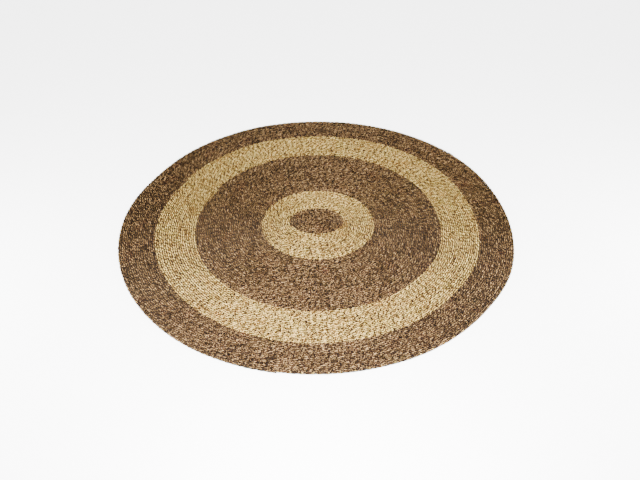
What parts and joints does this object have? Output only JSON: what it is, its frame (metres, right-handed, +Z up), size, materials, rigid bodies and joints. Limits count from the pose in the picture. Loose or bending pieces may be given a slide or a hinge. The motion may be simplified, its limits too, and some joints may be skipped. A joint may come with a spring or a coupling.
{
  "type": "round seagrass rug",
  "caption": "Flat round rug of twined seagrass in concentric dark brown and natural straw bands, to lie on a floor.",
  "frame": {"origin": "middle of the rug on its flat underside, which lies on the floor", "axes": "+Z up through the rug's thickness; +X along the long way of the spiral's oval heart; +Y across it"},
  "size_m": [1.4974, 1.4969, 0.01],
  "materials": {
    "dyed_grass": "dyed brown twined seagrass, matt to a dull sheen",
    "natural_grass": "undyed straw-coloured twined seagrass, matt to a dull sheen"
  },
  "bodies": {
    "root": {"centre_dark_band": "dyed_grass", "inner_natural_band": "natural_grass", "middle_dark_band": "dyed_grass", "outer_natural_band": "natural_grass", "border_dark_band": "dyed_grass"}
  },
  "joints": []
}
